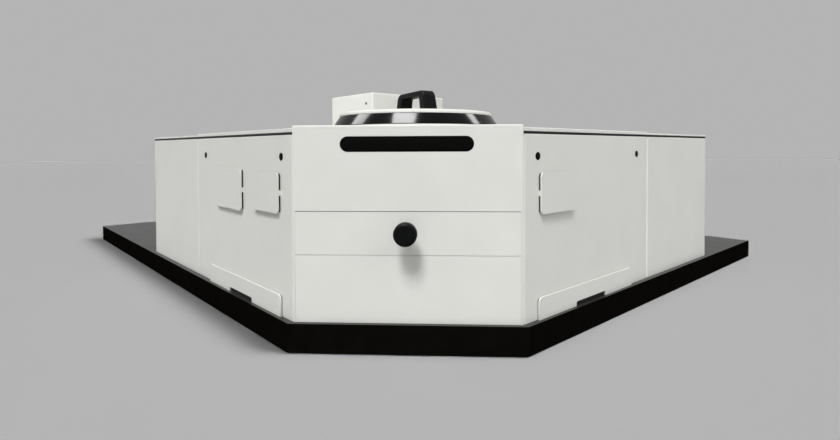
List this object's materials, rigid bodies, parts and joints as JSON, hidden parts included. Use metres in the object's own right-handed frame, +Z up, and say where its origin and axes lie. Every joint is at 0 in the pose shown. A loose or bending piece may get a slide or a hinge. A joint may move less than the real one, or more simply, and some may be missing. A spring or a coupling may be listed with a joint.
{
  "type": "photoluminescence spectrometer",
  "caption": "Bench spectrometer: a sample chamber with a round lid and front flap at the corner of two right-angled monochromator arms on a base plate, with a supply housing behind.",
  "frame": {"origin": "on the bench under the sample, where the two arms' beam axes cross", "axes": "+Z up, the chamber's front faces -Y, the arms run back at 45 degrees to +X and -X"},
  "size_m": [2.3403, 2.1669, 0.5198],
  "materials": {
    "casing_white": "smooth satin enamel",
    "base_black": "black paint on the edges, grey on top",
    "steel_core": "plain sheet",
    "pad_rubber": "matt",
    "pin_steel": "ground",
    "knob_black": "satin",
    "window_smoke": "smoked, low gloss",
    "lid_ring_black": "high gloss",
    "optics_black": "black anodised",
    "deck_aluminium": "machined",
    "mirror_silver": "polished coating",
    "cell_glass": "clear quartz",
    "lens_glass": "clear, coated",
    "lamp_glass": "clear envelope",
    "gasket_rubber": "matt",
    "motor_grey": "moulded",
    "plug_black": "moulded"
  },
  "bodies": {
    "frame": {"arc_lamp": "lamp_glass", "base_core": "steel_core", "base_pads": "pad_rubber", "base_shell": "base_black", "cable_gland": "knob_black", "chamber_body": "casing_white", "chamber_top": "casing_white", "detector_housing": "optics_black", "detector_tube": "lamp_glass", "filter_drives": "motor_grey", "flap_hinge_pins": "pin_steel", "front_lower_panel": "casing_white", "front_surround": "casing_white", "grating_drives": "optics_black", "hole_plugs": "plug_black", "lamp_housing": "optics_black", "left_access_panel": "casing_white", "left_end_casing": "casing_white", "left_front_port_plate": "casing_white", "left_main_casing": "casing_white", "left_rear_port_plate": "casing_white", "lens_tubes": "optics_black", "lid_gaskets": "gasket_rubber", "mirror_mounts": "optics_black", "mirrors": "mirror_silver", "optical_decks": "deck_aluminium", "rear_cover": "casing_white", "rear_housing": "casing_white", "right_access_panel": "casing_white", "right_end_casing": "casing_white", "right_front_port_plate": "casing_white", "right_main_casing": "casing_white", "sample_lenses": "lens_glass", "sample_stage": "optics_black", "shutter_solenoids": "motor_grey", "slit_blocks": "optics_black", "smoked_window": "window_smoke"},
    "sample_lid": {"lid_ring": "lid_ring_black", "lid_disc": "casing_white", "lid_handle": "knob_black"},
    "front_door": {"front_flap": "casing_white", "pull_knob": "knob_black"},
    "turntable": {"sample_turret": "optics_black", "cuvettes": "cell_glass"},
    "fan": {"fan_rotor": "motor_grey"},
    "rocker": {"power_rocker": "knob_black"},
    "left_main_cover": {"left_main_lid": "casing_white"},
    "left_end_cover": {"left_end_lid": "casing_white"},
    "left_grating_table": {"left_grating_turret": "deck_aluminium", "gratings_left": "mirror_silver"},
    "left_filters": {"left_filter_wheel": "optics_black"},
    "left_shutter": {"left_shutter_blade": "optics_black"},
    "left_jaw": {"left_slit_jaw": "pin_steel"},
    "right_main_cover": {"right_main_lid": "casing_white"},
    "right_end_cover": {"right_end_lid": "casing_white"},
    "right_grating_table": {"right_grating_turret": "deck_aluminium", "gratings_right": "mirror_silver"},
    "right_filters": {"right_filter_wheel": "optics_black"},
    "right_shutter": {"right_shutter_blade": "optics_black"},
    "right_jaw": {"right_slit_jaw": "pin_steel"}
  },
  "joints": [
    {"name": "sample_lid_lift", "type": "slide", "parent": "frame", "child": "sample_lid", "axis": [0, 0, 1], "range_m": [0, 0.25]},
    {"name": "front_flap_hinge", "type": "hinge", "parent": "frame", "child": "front_door", "pos_m": [0, -0.26855, 0.17255], "axis": [1, 0, 0], "range_deg": [0, 90]},
    {"name": "sample_turntable", "type": "hinge", "parent": "frame", "child": "turntable", "pos_m": [0, 0.026, 0.2028], "axis": [0, 0, 1], "continuous": true},
    {"name": "fan_spin", "type": "hinge", "parent": "frame", "child": "fan", "pos_m": [-0.02762, 0.60153, 0.3828], "axis": [0.7071, 0.7071, 0], "continuous": true},
    {"name": "power_rock", "type": "hinge", "parent": "frame", "child": "rocker", "pos_m": [-0.02621, 0.60294, 0.1628], "axis": [-0.7071, 0.7071, 0], "range_deg": [-8, 8]},
    {"name": "left_main_lid_lift", "type": "slide", "parent": "frame", "child": "left_main_cover", "axis": [0, 0, 1], "range_m": [0, 0.15]},
    {"name": "left_end_lid_lift", "type": "slide", "parent": "frame", "child": "left_end_cover", "axis": [0, 0, 1], "range_m": [0, 0.15]},
    {"name": "left_grating_turn", "type": "hinge", "parent": "frame", "child": "left_grating_table", "pos_m": [-0.41806, 0.23602, 0.1828], "axis": [0, 0, 1], "continuous": true},
    {"name": "left_filter_turn", "type": "hinge", "parent": "frame", "child": "left_filters", "pos_m": [-0.29451, 0.25633, 0.2228], "axis": [-0.7071, 0.7071, 0], "continuous": true},
    {"name": "left_shutter_swing", "type": "hinge", "parent": "frame", "child": "left_shutter", "pos_m": [-0.25845, 0.30087, 0.2528], "axis": [-0.7071, 0.7071, 0], "range_deg": [0, 35]},
    {"name": "left_slit_slide", "type": "slide", "parent": "frame", "child": "left_jaw", "axis": [0.7071, 0.7071, 0], "range_m": [0, 0.003]},
    {"name": "right_main_lid_lift", "type": "slide", "parent": "frame", "child": "right_main_cover", "axis": [0, 0, 1], "range_m": [0, 0.15]},
    {"name": "right_end_lid_lift", "type": "slide", "parent": "frame", "child": "right_end_cover", "axis": [0, 0, 1], "range_m": [0, 0.15]},
    {"name": "right_grating_turn", "type": "hinge", "parent": "frame", "child": "right_grating_table", "pos_m": [0.41806, 0.23602, 0.1828], "axis": [0, 0, 1], "continuous": true},
    {"name": "right_filter_turn", "type": "hinge", "parent": "frame", "child": "right_filters", "pos_m": [0.29451, 0.25633, 0.2228], "axis": [0.7071, 0.7071, 0], "continuous": true},
    {"name": "right_shutter_swing", "type": "hinge", "parent": "frame", "child": "right_shutter", "pos_m": [0.25845, 0.30087, 0.2528], "axis": [-0.7071, -0.7071, 0], "range_deg": [0, 35]},
    {"name": "right_slit_slide", "type": "slide", "parent": "frame", "child": "right_jaw", "axis": [-0.7071, 0.7071, 0], "range_m": [0, 0.003]}
  ]
}
